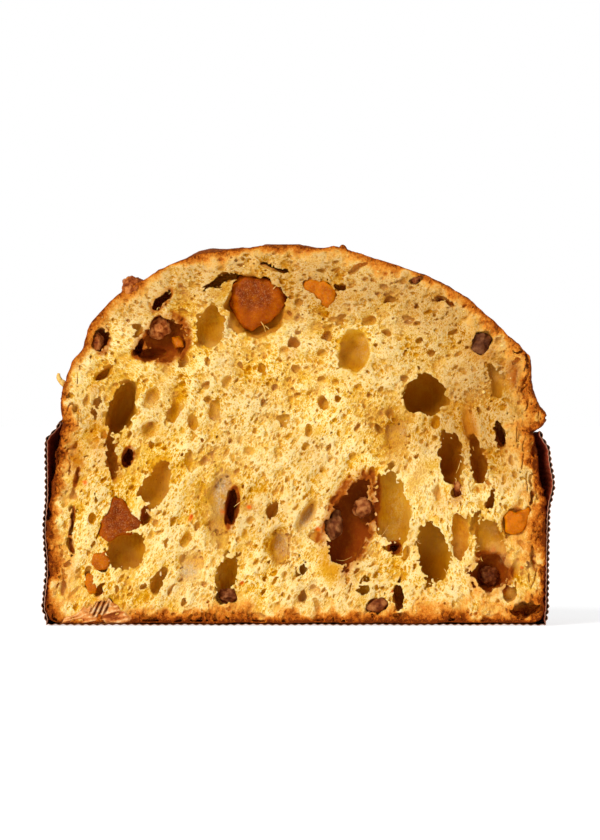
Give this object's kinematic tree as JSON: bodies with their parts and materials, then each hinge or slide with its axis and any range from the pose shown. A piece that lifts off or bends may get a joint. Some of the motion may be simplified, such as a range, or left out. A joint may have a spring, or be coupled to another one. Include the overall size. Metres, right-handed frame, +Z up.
{
  "type": "half panettone in its paper case",
  "caption": "Half of a low panettone, cut from top to bottom and standing in its ridged paper baking case, with an open, uneven crumb, raisins and candied fruit.",
  "frame": {"origin": "middle of the whole thing's footprint, on the surface that the paper case stands on", "axes": "+Z up, +X to the right along the cut face as it is looked at, +Y from the cut face back into the loaf; the cut face looks along -Y"},
  "size_m": [0.1616, 0.0802, 0.1203],
  "materials": {
    "crumb": "soft, open, yellow crumb with a browned crust",
    "case_paper": "matt brown corrugated paper",
    "candied_fruit": "translucent amber fruit with a sugary skin",
    "raisin": "wrinkled, satin, dark brown"
  },
  "bodies": {
    "root": {"loaf": "crumb", "paper_case": "case_paper", "candied_fruit_1": "candied_fruit", "candied_fruit_2": "candied_fruit", "candied_fruit_3": "candied_fruit", "candied_fruit_4": "candied_fruit", "candied_fruit_5": "candied_fruit", "candied_fruit_6": "candied_fruit", "candied_fruit_7": "candied_fruit", "raisin_1": "raisin", "raisin_2": "raisin", "raisin_3": "raisin", "raisin_4": "raisin", "raisin_5": "raisin", "raisin_6": "raisin", "raisin_7": "raisin", "raisin_8": "raisin", "raisin_9": "raisin", "raisin_10": "raisin", "raisin_11": "raisin"}
  },
  "joints": []
}
